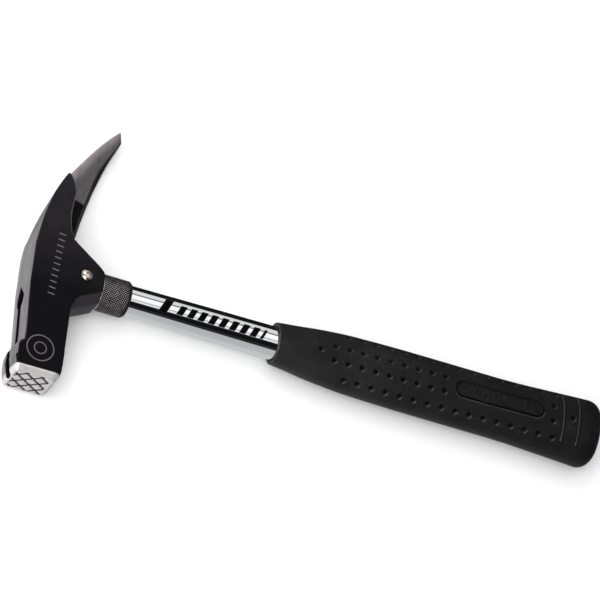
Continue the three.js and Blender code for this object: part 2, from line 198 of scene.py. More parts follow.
def surface_net(field, low, high, cell):
    """A mesh of the places where a field is zero: one point in each cell that it crosses."""
    axes = [np.arange(a, b + cell, cell, dtype=np.float32) for a, b in zip(low, high)]
    x, y, z = np.meshgrid(*axes, indexing="ij", sparse=True)
    value = field(x, y, z).astype(np.float32)
    solid = value < 0
    count = sum(
        solid[i: solid.shape[0] - 1 + i, j: solid.shape[1] - 1 + j, k: solid.shape[2] - 1 + k]
        .astype(np.int8)
        for i in (0, 1) for j in (0, 1) for k in (0, 1)
    )
    cells = np.argwhere((count > 0) & (count < 8))
    index = np.full(count.shape, -1, np.int32)
    index[tuple(cells.T)] = np.arange(len(cells))

    total = np.zeros((len(cells), 3))
    hits = np.zeros(len(cells))
    corners = [np.array(c) for c in np.ndindex(2, 2, 2)]
    for a in corners:
        for axis in range(3):
            if a[axis] == 0:
                b = a.copy()
                b[axis] = 1
                va = value[tuple((cells + a).T)]
                vb = value[tuple((cells + b).T)]
                crosses = (va < 0) != (vb < 0)
                share = np.where(crosses, va / np.where(crosses, va - vb, 1), 0)
                point = a + share[:, None] * (b - a)
                total += point * crosses[:, None]
                hits += crosses
    points = (cells + total / hits[:, None]) * cell + np.array(low)

    faces = []
    for axis in range(3):
        u, v = [a for a in range(3) if a != axis]
        here = [slice(None)] * 3
        there = [slice(None)] * 3
        here[axis], there[axis] = slice(0, -1), slice(1, None)
        start, end = solid[tuple(here)], solid[tuple(there)]
        for leaving in (True, False):
            edges = np.argwhere((start != end) & (start == leaving))
            keep = (edges[:, u] > 0) & (edges[:, v] > 0)
            keep &= (edges[:, u] < index.shape[u]) & (edges[:, v] < index.shape[v])
            edges = edges[keep]
            ring = []
            for du, dv in ((0, 0), (1, 0), (1, 1), (0, 1)):
                near = edges.copy()
                near[:, u] -= du
                near[:, v] -= dv
                ring.append(index[tuple(near.T)])
            quad = np.stack(ring, 1)
            turned_round = leaving == (axis == 1)
            faces.append(quad[:, ::-1] if turned_round else quad)
    return points, np.concatenate(faces)


def settle(field, points, cell, rounds=4):
    """Moves points onto a field's surface along its slope."""
    step = 0.04
    for _ in range(rounds):
        x, y, z = points.T
        slope = np.stack([
            field(x + step, y, z) - field(x - step, y, z),
            field(x, y + step, z) - field(x, y - step, z),
            field(x, y, z + step) - field(x, y, z - step),
        ], 1) / (2 * step)
        size = np.maximum((slope ** 2).sum(1), 0.2)
        move = -(field(x, y, z) / size)[:, None] * slope
        length = np.linalg.norm(move, axis=1)
        limit = np.minimum(1, 0.3 * cell / np.maximum(length, 1e-9))
        points = points + move * limit[:, None]
    return points


# ---- head ------------------------------------------------------------------------------------

BACK_RADIUS = 174
TOOTH_BACK_RADIUS = 110
TOOTH_BACK = (80.1, 10.5)
SPIKE_BACK = (141.6, -10.9)
TOOTH_TIP_Y = 60.6
SPIKE_NEAR_Z = -3
SPIKE_END_X, SPIKE_END_Y = 13.1, 104.6
SPIKE_END_OUTWARD = (0.9, 0.13, 0.42)
SPIKE_TAPER_Y = 60
SPIKE_TAPER_RISE = 7
SPIKE_LEAN_Y = [74, 100]
SPIKE_LEAN = [3.1, 0.9]
SPIKE_INNER_Y = [27, 38.7, 46, 57, 67.2, 77.4, 87.9, 96, 104]
SPIKE_INNER_X = [-3.6, -1.35, -0.2, 2.2, 4.8, 8.1, 11.6, 14.7, 18]
DRAFT_START_Y = 24
SPIKE_DRAFT_Y = [DRAFT_START_Y, 34, 66, 78, 96]
SPIKE_DRAFT = [0, 0.37, 0.4, 0.44, 0.22]
BACK_START_Y = 21
TOP_Y = [-70, -42, -12, 4, 12, BACK_START_Y]
TOP_NEAR_X = [-28.9, -28.9, -30.6, -30.6, -30.6, -29.4]
TOP_FAR_X = [-28.9, -28.9, -30.6, -30.8, -30.8, -29.9]
TOP_CROWN = 1.1
PAINT_EDGE = 0.7
BOSS_WALL_Z = 6.2
BOSS_CHAMFER = 5.2
BOSS_X = [-8, 7, BOSS_END]
BOSS_BELOW = [20.7, 13, 10.8]
BOSS_ABOVE = [24.6, 13.8, 10.2]
BOSS_INNER_X = -12
GROOVE_FLOOR = MAGNET_LOW
GROOVE_HALF_WIDTH = 2.4
NOTCH_HALF_WIDTH = 3
NOTCH_START = -55
NOTCH_FACE_X = -30.8
POCKET_HALF_WIDTH = 5.4
FACE_BEVEL = 2.8
BEVEL_LENGTH = 3.6
CHECK_LINES = (((0.759, -0.651), 5.4, 0.56), ((0.743, 0.669), 6.0, 0.74))
CHECK_CROSSING = (-18.5, -2.06)
CHECK_MIDDLE = -19.8
CHECK_REACH = 9.9
CHECK_DEPTH = 0.8
POLL_BOTTOM = -5.8
POLL_BACK_Y = -48.5
POLL_CROWN = 1.2
BAR_END_Y = -58
PIN_RADIUS = 2.4
PIN_HOLE_RADIUS = 2.7


def arc_x(centre, radius, y):
    return centre[0] - np.sqrt(radius ** 2 - (np.clip(y, -40, 108) - centre[1]) ** 2)


def top_x(y, z):
    """Back and top of the head, crowned across, with a tighter curve on the near side."""
    near = np.interp(y, TOP_Y, TOP_NEAR_X)
    near = np.where(y < BACK_START_Y, near, arc_x(TOOTH_BACK, TOOTH_BACK_RADIUS, y))
    far = np.interp(y, TOP_Y, TOP_FAR_X)
    far = np.where(y < BACK_START_Y, far, arc_x(SPIKE_BACK, BACK_RADIUS, y))
    lean = np.interp(y, SPIKE_LEAN_Y, SPIKE_LEAN)
    near = near + (far + lean - near) * smooth_step(60, 70, y)
    share = smooth_step(CHEEK, -CHEEK, z)
    crown = TOP_CROWN * smooth_step(44, 16, y) * (1 - (z / CHEEK) ** 2)
    return near + (far - near) * share - crown


TOOTH_OUTLINE = (
    [(POLL_BOTTOM, -60), (POLL_BOTTOM, -31), (-6, -18), (-8, 8), (-8.2, 18.5)]
    + bend((-8.2, 18.5), (-12.6, 27), (-12.5, 38))
    + bend((-12.5, 38), (-12.2, 42), (-11.6, 48.4))
    + bend((-11.6, 48.4), (-11.6, 55.5), (-16.6, TOOTH_TIP_Y + 0.3))
    + [(-40, TOOTH_TIP_Y + 0.3), (-40, -60)]
)
SPIKE_OUTLINE = (
    [(POLL_BOTTOM, -60), (POLL_BOTTOM, -31), (-6, -18), (-7, 8), (-6, 20)]
    + bend((-6, 20), (-2.4, 26), (-0.6, 38.7))
    + bend((-0.6, 38.7), (3.1, 62), (11.2, 84.6))
    + [(18.6, 104), (18.6, SPIKE_TIP), (-40, SPIKE_TIP), (-40, -60)]
)
SLOT_OUTLINE = [
    (28, 0.9), (28, -0.6), (36, SPIKE_NEAR_Z - GAP), (80, SPIKE_NEAR_Z - GAP), (80, 6.6),
]


def boss_field(x, y, z):
    """The tapered socket for the handle, left open towards the cheeks."""
    height = np.abs(z)
    below = np.interp(x, BOSS_X, BOSS_BELOW)
    above = np.interp(x, BOSS_X, BOSS_ABOVE)
    run = CHEEK - BOSS_WALL_Z
    slant = math.hypot(run, BOSS_CHAMFER)
    low_chamfer = (-run * (y + below) + BOSS_CHAMFER * (height - BOSS_WALL_Z)) / slant
    high_chamfer = (run * (y - above) + BOSS_CHAMFER * (height - BOSS_WALL_Z)) / slant
    low = common(0.88 * (-y - below), low_chamfer, 1)
    high = common(0.84 * (y - above), high_chamfer, 1)
    ends = common(x - BOSS_END, BOSS_INNER_X - x, 1)
    return common(common(low, high, 1), ends, 1.2)


def spike_inner(y, z):
    """X of the spike's drafted underside."""
    inner = np.interp(y, SPIKE_INNER_Y, SPIKE_INNER_X)
    return inner - np.interp(y, SPIKE_DRAFT_Y, SPIKE_DRAFT) * (z + CHEEK)


def spike_field(x, y, z):
    """The far half of the claw: thinner towards its tip, and drafted on its underside."""
    flat = outline_distance(SPIKE_OUTLINE, x, y)
    under = 0.9 * (x - spike_inner(y, z))
    shape = np.where(y > DRAFT_START_Y, common(flat, under, 0.4), flat)
    out_x, out_y, out_z = SPIKE_END_OUTWARD
    tip = out_x * (x - SPIKE_END_X) + out_y * (y - SPIKE_END_Y) + out_z * (z - SPIKE_NEAR_Z)
    shape = common(shape, tip, 0.2)
    run = SPIKE_TIP - SPIKE_TAPER_Y
    far = -(z + CHEEK) * run + (y - SPIKE_TAPER_Y) * SPIKE_TAPER_RISE
    far = far / math.hypot(run, SPIKE_TAPER_RISE)
    far = common(-z - CHEEK, far, 3)
    slab = np.maximum(z - SPIKE_NEAR_Z, far)
    edge = np.where(y > 40, 0.35, PAINT_EDGE)
    return common(shape, slab, edge)


def poll_field(x, y, z):
    """The square striking end: a rounded bump above the bar, and a bevelled, checkered face."""
    middle = (POLL_TOP + POLL_BOTTOM) / 2
    half = (POLL_BOTTOM - POLL_TOP) / 2
    crown = POLL_CROWN * (z / CHEEK) ** 2
    sides = common(np.abs(z) - CHEEK, x - POLL_BOTTOM, PAINT_EDGE)
    lift = POLL_TOP + crown + 1.1 * smooth_step(-57, -64, y) - x
    bump_end = common(lift, y - (POLL_BACK_Y + 1), 5)
    sides = common(sides, bump_end, 1.2)
    corner = common(np.abs(z) - CHEEK, np.abs(x - middle) - half, 4.3)
    bevel = (BEVEL_LENGTH * (corner + FACE_BEVEL) + FACE_BEVEL * (FACE - y)) / math.hypot(
        BEVEL_LENGTH, FACE_BEVEL)
    body = common(sides, bevel, 0.6)
    return common(body, FACE - y, 0.5)


def check_depth(x, z):
    """How deep the crossed grooves are at a place on the striking face."""
    depth = 0
    for (dx, dz), pitch, half_width in CHECK_LINES:
        across = (z - CHECK_CROSSING[1]) * dx - (x - CHECK_CROSSING[0]) * dz
        offset = np.abs((across / pitch + 0.5) % 1 - 0.5) * pitch
        depth = np.maximum(depth, 1 - smooth_step(half_width / 2, half_width * 1.5, offset))
    reach = np.maximum(np.abs(x - CHECK_MIDDLE), np.abs(z))
    return depth * (1 - smooth_step(CHECK_REACH - 0.4, CHECK_REACH, reach))


def nail_cuts(x, y, z):
    """Shank groove, the teardrop pocket for a nail's head, and the open notch in the poll."""
    groove = common(np.abs(z) - GROOVE_HALF_WIDTH, x - GROOVE_FLOOR, 1.2)
    groove = np.maximum(groove, np.maximum(y - MAGNET_Y, NOTCH_START - 0.3 - y))
    floor_x = np.interp(y, [FACE, NOTCH_START], [NOTCH_FACE_X, GROOVE_FLOOR])
    notch = common(np.abs(z) - NOTCH_HALF_WIDTH, 0.9 * (x - floor_x), 2.0)
    notch = np.maximum(notch, y - NOTCH_START)
    toward_tip = np.maximum(y - MAGNET_Y, 0) * 0.8
    toward_face = np.maximum(MAGNET_Y - y, 0) * 0.8
    pocket = np.hypot(z, toward_face) + toward_tip - POCKET_HALF_WIDTH
    pocket = common(0.8 * pocket, x - GROOVE_FLOOR, 0.8)
    hole = np.maximum(np.hypot(y - MAGNET_Y, z) - CUP_RADIUS - 0.1, x - CUP_HIGH - 0.2)
    return np.minimum(np.minimum(groove, notch), np.minimum(pocket, hole))


def head_field(x, y, z, soft=1.0):
    edge = PAINT_EDGE * soft
    bar = outline_distance(TOOTH_OUTLINE, x, y)
    fillet = 1.5 + 5 * smooth_step(8, -4, y)
    near = join(bar, boss_field(x, y, z), fillet)
    near = common(near, np.abs(z) - CHEEK, edge)
    near = cut(near, outline_distance(SLOT_OUTLINE, y, z), 0.4 * soft)
    shape = np.minimum(near, spike_field(x, y, z))
    top_edge = np.where(y > 40, 0.4, 0.6) * soft
    shape = common(shape, 0.95 * (top_x(y, z) - x), top_edge)
    shape = common(shape, BAR_END_Y - y, 0.1)
    shape = join(shape, poll_field(x, y, z), 0.4)
    shape = np.maximum(shape, np.abs(z) - CHEEK)
    shape = shape + CHECK_DEPTH * check_depth(x, z) * smooth_step(FACE + 3, FACE + 1.6, y)
    shape = cut(shape, nail_cuts(x, y, z), 0.45 * soft)
    eye = np.maximum(np.hypot(y, z) - BORE_RADIUS, TUBE_START - 0.6 - x)
    shape = cut(shape, eye, 0.5 * soft)
    from_pin = np.hypot(x - PIN_X, y - PIN_Y)
    seat = np.maximum(from_pin - PIN_HEAD_RADIUS - 0.2, CHEEK - 0.9 - z)
    return cut(shape, np.minimum(from_pin - PIN_HOLE_RADIUS, seat), 0.3 * soft)


PAINT_LINE = ((-6.9, 54.4), (-2.4, 53.0))


def head_attributes(points):
    """Where the head is ground bare, where it is cut dark, where its edges are worn, and where
    highlights and sheen are painted on.
    """
    x, y, z = points.T
    fade = smooth_step
    top_depth = x - top_x(y, z)
    top = fade(0.55, 0.35, top_depth) * fade(CHEEK - 0.1, CHEEK - 0.3, np.abs(z))
    top = top * fade(BAR_END_Y, BAR_END_Y + 0.5, y)
    bump_depth = x - (POLL_TOP + POLL_CROWN * (z / CHEEK) ** 2)
    bump = fade(3.2, 2.6, bump_depth) * fade(CHEEK - 0.8, CHEEK - 1.1, np.abs(z))
    bump = bump * fade(POLL_BACK_Y + 1, POLL_BACK_Y, y)
    face = fade(FACE + BEVEL_LENGTH + 0.35, FACE + BEVEL_LENGTH + 0.05, y)
    lands = fade(FACE + 0.5, FACE + 0.25, y) * fade(-9.6, -10, x)
    (ax, ay), (bx, by) = PAINT_LINE
    line = ay + (x - ax) * (by - ay) / (bx - ax)
    spike = fade(-0.1, 0.25, y - line) * fade(SPIKE_NEAR_Z - 0.5, SPIKE_NEAR_Z - 0.25, z)
    spike = spike * fade(SPIKE_NEAR_Z + 0.6, SPIKE_NEAR_Z + 0.3, z)
    # painted highlights on the spike: lighter near its back, along its inner edge and over its tip
    spike_back_highlight = fade(7, 0.5, top_depth)
    spike_edge_and_tip_highlight = fade(-1.1, -0.5, x - spike_inner(y, z)) * fade(66, 60, y) + fade(99, 103, y)
    inner = outline_distance(TOOTH_OUTLINE, x, y)
    rim = fade(-0.75, -0.45, inner) * fade(0.1, -0.05, inner) * fade(CHEEK - 0.7, CHEEK - 0.35, z)
    rim = rim * fade(22, 25, y) * (x > -15.5)
    blackened = fade(0.05, 0.25, nail_cuts(x, y, z) * -1 + 0.3)
    # painted sheen on the boss's walls and chamfers, clear of the cheeks
    flank_sheen = fade(CHEEK - 0.3, CHEEK - 0.9, np.abs(z)) * fade(-9, -5, x)
    flank_sheen = flank_sheen * fade(20, 12, y) * fade(-26, -18, y)
    grooves = check_depth(x, z) * fade(FACE + 3, FACE + 1.6, y)
    sharp = -head_field(x, y, z, soft=0.02)
    bare = np.maximum.reduce([top, bump, face, spike, 0.85 * rim]) * (1 - blackened)
    return {
        "bare": np.clip(bare, 0, 1),
        "spike": spike,
        "spike_highlight": np.clip(np.maximum(spike_back_highlight, 0.7 * spike_edge_and_tip_highlight), 0, 1),
        "flank_sheen": flank_sheen,
        "face": face,
        "lands": lands,
        "grooves": np.clip(grooves * 1.3, 0, 1),
        "edge": np.clip(sharp / 0.2, 0, 1),
    }


def head():
    low = (POLL_TOP - 1.5, FACE - 1.5, -CHEEK - 1.5)
    high = (SPIKE_LOW_X + 1.5, SPIKE_TIP + 1.5, CHEEK + 1.5)
    points, faces = surface_net(head_field, low, high, HEAD_CELL)
    points = settle(head_field, points, HEAD_CELL)
    return mesh_object("forged_head", points, faces.tolist(), head_attributes(points))


# ---- turned and gridded pieces ---------------------------------------------------------------

def grid_faces(rows, columns):
    """Faces of a tube of points, rows along it and columns round it."""
    r, c = np.meshgrid(np.arange(rows - 1), np.arange(columns), indexing="ij")
    after = (c + 1) % columns
    quads = [r * columns + c, r * columns + after, (r + 1) * columns + after, (r + 1) * columns + c]
    return np.stack([q.ravel() for q in quads], 1)


def closing_faces(last, columns):
    """Faces from a tube's last ring, which starts at point last, to its first."""
    return [[last + c, last + (c + 1) % columns, (c + 1) % columns, c] for c in range(columns)]


def rounded(profile, radius, steps=4):
    """A profile of (along, radius) points with its inner corners rounded."""
    profile = [np.array(p, float) for p in profile]
    smooth = [profile[0]]
    for before, corner, after in zip(profile, profile[1:], profile[2:]):
        to_before, to_after = before - corner, after - corner
        reach = min(radius, 0.45 * np.linalg.norm(to_before), 0.45 * np.linalg.norm(to_after))
        start = corner + to_before / np.linalg.norm(to_before) * reach
        end = corner + to_after / np.linalg.norm(to_after) * reach
        smooth.append(start)
        smooth += [np.array(p) for p in bend(start, corner, end, steps)]
    return smooth + [profile[-1]]


def turned(name, profile, columns, radius=0.3, place=None, closed=False):
    """A turned piece; place maps (along, across, up) arrays to the three axes."""
    ring = rounded(profile, radius)
    along = np.array([p[0] for p in ring])
    reach = np.array([p[1] for p in ring])
    angle = np.arange(columns) * TAU / columns
    grid_along = np.repeat(along[:, None], columns, 1)
    across = reach[:, None] * np.cos(angle)
    up = reach[:, None] * np.sin(angle)
    points = np.stack([grid_along, across, up], -1).reshape(-1, 3)
    if place is not None:
        points = place(points)
    faces = grid_faces(len(ring), columns).tolist()
    last = (len(ring) - 1) * columns
    if closed:
        faces += closing_faces(last, columns)
    else:
        faces.append(list(range(columns))[::-1])
        faces.append([last + c for c in range(columns)])
    return mesh_object(name, points, faces, face_out=True)


def across_head(points):
    """Turns a piece's own axis to stand across the head, on the pin's line."""
    return np.stack([points[:, 1] + PIN_X, points[:, 2] + PIN_Y, points[:, 0]], 1)


def at_magnet(points):
    return points + np.array([0, MAGNET_Y, 0])


def pin():
    seat = CHEEK - 0.8
    profile = [(PIN_FAR, 0.01), (PIN_FAR, PIN_RADIUS), (seat, PIN_RADIUS), (seat, PIN_HEAD_RADIUS)]
    base = CHEEK - 0.2
    for angle in np.linspace(0, math.pi / 2, 9):
        height = base + (PIN_TOP - base) * math.sin(angle)
        profile.append((height, max(PIN_HEAD_RADIUS * math.cos(angle), 0.01)))
    return turned("rivet_pin", profile, 64, 0.15, across_head)


def magnet():
    profile = [(MAGNET_LOW, 0.01), (MAGNET_LOW, MAGNET_RADIUS), (MAGNET_HIGH, MAGNET_RADIUS)]
    return turned("nail_holder_magnet", profile + [(MAGNET_HIGH, 0.01)], 48, 0.3, at_magnet)


def magnet_cup():
    inner = MAGNET_RADIUS + GAP
    floor = MAGNET_HIGH + GAP
    profile = [(floor, 0.01), (floor, inner), (CUP_LOW, inner), (CUP_LOW, CUP_RADIUS)]
    profile += [(CUP_HIGH, CUP_RADIUS), (CUP_HIGH, 0.01)]
    return turned("magnet_cup_liner", profile, 48, 0.15, at_magnet)


TUBE_TAPER_X = [29, 50, 80, 112]
TUBE_TAPER_RADIUS = [8.5, 8.75, 9.12, TUBE_GRIP_RADIUS]


def tube_radius(x):
    return np.interp(x, TUBE_TAPER_X, TUBE_TAPER_RADIUS)


def tube():
    along = list(np.linspace(TUBE_START, TUBE_END, 60))
    outer = [(x, tube_radius(x)) for x in along]
    inner = [(x, tube_radius(x) - TUBE_WALL) for x in along[::-1]]
    return turned("chromed_tube", outer + inner, 128, 0.4, closed=True)


def core():
    profile = [(CORE_START, 0.01), (CORE_START, CORE_RADIUS), (CORE_END, CORE_RADIUS)]
    return turned("core_dowel", profile + [(CORE_END, 0.01)], 64, 0.6)


def end_plug():
    stem = TUBE_GRIP_RADIUS - (TUBE_WALL + GAP)
    flange = TUBE_END + GAP
    profile = [(PLUG_START, 0.01), (PLUG_START, stem - 1), (PLUG_START + 2, stem), (flange, stem)]
    profile += [(flange, TUBE_GRIP_RADIUS), (PLUG_END, TUBE_GRIP_RADIUS), (PLUG_END, 0.01)]
    return turned("tube_plug", profile, 64, 0.3)


KNURL_STARTS = 46
KNURL_LEAN = 0.9
KNURL_DEPTH = 0.42


def collar():
    """Diamond knurl: two crossing families of V grooves, fading out at both plain rims."""
    columns = int(round(TAU * COLLAR_RADIUS / KNURL_STEP))
    angle = np.arange(columns) * TAU / columns
    along = np.arange(COLLAR_START + 0.3, COLLAR_END - 0.2, KNURL_STEP)
    x = along[:, None]
    turn = angle[None, :] * KNURL_STARTS / TAU
    slope = KNURL_LEAN * KNURL_STARTS / (TAU * COLLAR_RADIUS)
    ridges = []
    for way in (1, -1):
        phase = (turn + way * slope * x) % 1
        ridges.append(1 - np.abs(2 * phase - 1))
    height = np.clip(np.minimum(*ridges) * 1.5, 0, 1)
    cover = smooth_step(COLLAR_START + 0.5, COLLAR_START + 0.9, x)
    cover = cover * smooth_step(COLLAR_END - 0.6, COLLAR_END - 1.1, x)
    plain = COLLAR_RADIUS - 0.12 - 0.9 * smooth_step(COLLAR_END - 2.2, COLLAR_END, x) ** 2
    plain = plain - 0.35 * smooth_step(COLLAR_START + 0.6, COLLAR_START, x)
    radius = plain - KNURL_DEPTH * (1 - height) * cover + 0.1 * cover
    shell = np.stack([x + 0 * angle, radius * np.cos(angle), radius * np.sin(angle)], -1)
    rings = [shell.reshape(-1, 3)]
    for rim_x, rim_radius in (
        (COLLAR_END, COLLAR_RADIUS - 1.1), (COLLAR_END, BORE_RADIUS),
        (COLLAR_START, BORE_RADIUS), (COLLAR_START, COLLAR_RADIUS - 0.6),
    ):
        circle = (rim_radius * np.cos(angle), rim_radius * np.sin(angle))
        rings.append(np.stack([0 * angle + rim_x, *circle], -1))
    points = np.concatenate(rings)
    rows = len(along) + 4
    faces = grid_faces(rows, columns).tolist()
    last = (rows - 1) * columns
    faces += closing_faces(last, columns)
    depth = np.concatenate([((1 - height) * cover).ravel(), np.zeros(4 * columns)])
    return mesh_object("knurled_sleeve", points, faces, {"depth": depth})


# ---- grip ------------------------------------------------------------------------------------

GRIP_X = [
    117, 122, 128, 136, 144, 152, 160, 176, 192, 220, 250, 262, 272, 281, 290, 300, 316,
]
GRIP_HALF = [
    11.8, 12.5, 13.3, 14.6, 15.7, 16.6, 17.2, 17.7, 18, 18, 18, 18.2, 18.7, 19.2, 19.7, 20.3, 21.2,
]
GRIP_NEAR_X = [117, 128, 150, 250, 280, 296, 316]
GRIP_NEAR_HALF = [11.8, 11.9, 11.4, 12.3, 13.1, 13.6, 13.6]
SECTION_POWER = 2.25
BUTT_RADIUS = 9
BUTT_SLANT = 0.06
BUTT_STEPS = 14
FRONT_SLANT = 0.1
FRONT_LOW_Y = -12
GRIP_PERIMETER = 98
DIMPLE_RADIUS = 1.6
DIMPLE_DEPTH = 1.6
PATTERN_TURN = (0.014, -0.003)
BADGE_X = (223, 276.8)
BADGE_HALF = 4.9
RING_PLACES = (289.6, 299.4)


def grip_section(x, count):
    """Points round the grip's section at one place, evenly spaced along its edge."""
    half_y = np.interp(x, GRIP_X, GRIP_HALF)
    near_z = min(half_y, np.interp(x, GRIP_NEAR_X, GRIP_NEAR_HALF))
    far_z = min(near_z, CHEEK)
    t = np.linspace(0, TAU, 721)
    blend = min(max((half_y - 11.8) / 3, 0), 1)
    power = 1 + (2 / SECTION_POWER - 1) * blend
    y = half_y * np.sign(np.sin(t)) * np.abs(np.sin(t)) ** power
    z = np.where(np.cos(t) > 0, near_z, -far_z) * np.abs(np.cos(t)) ** power
    length = np.concatenate([[0], np.cumsum(np.hypot(np.diff(y), np.diff(z)))])
    even = np.arange(count) / count * length[-1]
    return np.interp(even, length, y), np.interp(even, length, z), length[-1]


def dimple_places():
    """Centre of every dimple on one face: its X, and its share of the way round from the middle."""
    places = [(140.4, 0), (282.8, -0.047), (282.8, 0.047), (294.8, 0)]
    rows = ((9, (149.1, 0.05), (215.9, 0.048)), (16, (156.8, 0.155), (284, 0.138)))
    for count, first, last in rows:
        for x, way in np.linspace(first, last, count):
            places += [(x, way), (x, -way)]
    return places


DIMPLES = dimple_places()


def badge_field(x, arc):
    """Distance to the blank badge's round-ended outline, negative inside."""
    middle = sum(BADGE_X) / 2
    half = (BADGE_X[1] - BADGE_X[0]) / 2 - BADGE_HALF
    return np.hypot(np.maximum(np.abs(x - middle) - half, 0), arc) - BADGE_HALF


def grip_relief(x, share, perimeter):
    """How far the surface is sunk at a place, and where it is hollow or catches the light."""
    sink = np.zeros_like(share)
    hole = np.zeros_like(share)
    glint = np.zeros_like(share)
    for way in (0, 0.5):
        turn = np.interp(x, [150, 290], PATTERN_TURN)
        arc = ((share - way + turn + 0.5) % 1 - 0.5) * perimeter
        for place, row in DIMPLES:
            if abs(place - x) < 2 * DIMPLE_RADIUS:
                near = np.hypot(x - place, arc - row * perimeter)
                hole = np.maximum(hole, smooth_step(DIMPLE_RADIUS, DIMPLE_RADIUS - 0.55, near))
                toward = 0.7 * (x - place) - 0.7 * (arc - row * perimeter)
                rim = smooth_step(0.5, 0.15, np.abs(near - DIMPLE_RADIUS - 0.1))
                glint = np.maximum(glint, 0.6 * rim * smooth_step(0.9, 1.5, toward))
        badge = badge_field(x, arc)
        groove = np.clip(1 - (badge / 0.65) ** 2, 0, 1)
        hole = np.maximum(hole, 0.8 * groove)
        lip = smooth_step(0.4, 0.1, np.abs(badge - 0.85)) * smooth_step(1, -3, arc)
        glint = np.maximum(glint, 0.5 * lip)
        ribs = badge_ribs(x, arc, badge)
        sink = sink + 0.9 * groove + 0.55 * smooth_step(-0.9, -1.3, badge) - 0.5 * ribs
        for place in RING_PLACES:
            reach = np.abs(arc - 1.2) - 0.155 * perimeter
            away = np.hypot(x - place, np.maximum(reach, 0))
            ring = np.clip(1 - (away / 1.15) ** 2, 0, 1) ** 0.6
            bead = smooth_step(0.5, 0.2, np.abs(away - 0.25 * (reach > -1)))
            hole = np.maximum(hole, 0.7 * ring * (1 - bead))
            sink = np.maximum(sink, 1.1 * ring - 0.5 * bead)
            glint = np.maximum(glint, 0.9 * bead)
    return sink + DIMPLE_DEPTH * hole, hole, glint


def badge_ribs(x, arc, badge):
    """Plain raised bars and two studs that fill the badge in place of a name."""
    middle = sum(BADGE_X) / 2
    lean = x - middle - 0.35 * arc
    bar = np.abs((lean / 3.2 + 0.5) % 1 - 0.5) * 3.2
    bars = smooth_step(0.75, 0.5, bar) * smooth_step(1.9, 1.6, np.abs(arc))
    bars = bars * smooth_step(18.2, 17.9, np.abs(lean))
    stud = np.abs(np.hypot(np.abs(x - middle) - 22, arc) - 1.7)
    return np.maximum(bars, smooth_step(0.55, 0.3, stud)) * (badge < -0.6)


def grip():
    columns = int(GRIP_PERIMETER / GRIP_STEP)
    share = np.arange(columns) / columns
    along = np.arange(GRIP_START, GRIP_END - BUTT_RADIUS, GRIP_STEP)
    rows, hole_shades, glints = [], [], []
    for x in along:
        y, z, perimeter = grip_section(x, columns)
        sink, hole, glint = grip_relief(x, share, perimeter)
        lip = 0.5 * (1 - math.sqrt(max(0, 1 - (1 - min((x - GRIP_START) / 0.5, 1)) ** 2)))
        scale = 1 - (sink + lip) / np.hypot(y, z)
        rows.append(np.stack([np.full(columns, x), y * scale, z * scale], 1))
        hole_shades.append(hole)
        glints.append(glint)
    for step in range(1, BUTT_STEPS + 1):
        angle = step / BUTT_STEPS * math.pi / 2
        x = GRIP_END - BUTT_RADIUS + BUTT_RADIUS * math.sin(angle)
        y, z, _ = grip_section(x, columns)
        half = np.interp(x, GRIP_X, GRIP_HALF)
        scale = 1 - BUTT_RADIUS * (1 - math.cos(angle)) / half
        rows.append(np.stack([np.full(columns, x), y * scale, z * scale], 1))
    end_y, end_z = rows[-1][:, 1], rows[-1][:, 2]
    for shrink in (0.97, 0.9, 0.7, 0.45, 0.2, 0.02):
        end_x = np.full(columns, GRIP_END - 0.25 * (1 - shrink) ** 0.5)
        rows.append(np.stack([end_x, end_y * shrink, end_z * shrink], 1))
    for row in rows:
        lean = smooth_step(GRIP_END - 22, GRIP_END - 4, row[:, 0])
        front = smooth_step(GRIP_START + 20, GRIP_START, row[:, 0])
        row[:, 0] += BUTT_SLANT * (row[:, 1] - GRIP_HALF_HEIGHT) * lean
        row[:, 0] -= FRONT_SLANT * (row[:, 1] - FRONT_LOW_Y) * front
    bore = TUBE_GRIP_RADIUS + 0.25
    angle = TAU * share
    hollow = [
        (GRIP_START, bore + 0.2), (GRIP_START + 0.6, bore), (PLUG_END + 0.5, bore),
        (PLUG_END + 0.5, 0.2),
    ]
    inner = []
    for x, radius in hollow:
        y = radius * np.sin(angle)
        lean = -FRONT_SLANT * (y - FRONT_LOW_Y) * (x < GRIP_START + 1)
        inner.append(np.stack([x + lean, y, radius * np.cos(angle)], 1))
    rows = inner[::-1] + rows
    points = np.concatenate(rows)
    faces = grid_faces(len(rows), columns).tolist()
    last = (len(rows) - 1) * columns
    faces.append(list(range(columns)))
    faces.append([last + c for c in range(columns)][::-1])
    before = [np.zeros(columns)] * len(inner)
    after = [np.zeros(columns)] * (len(rows) - len(inner) - len(along))
    # hole carries the painted shade of the dimples and grooves
    attributes = {
        "hole": np.concatenate(before + hole_shades + after),
        "glint": np.concatenate(before + glints + after),
    }
    return mesh_object("moulded_grip", points, faces, attributes, face_out=True)


# ---- materials -------------------------------------------------------------------------------

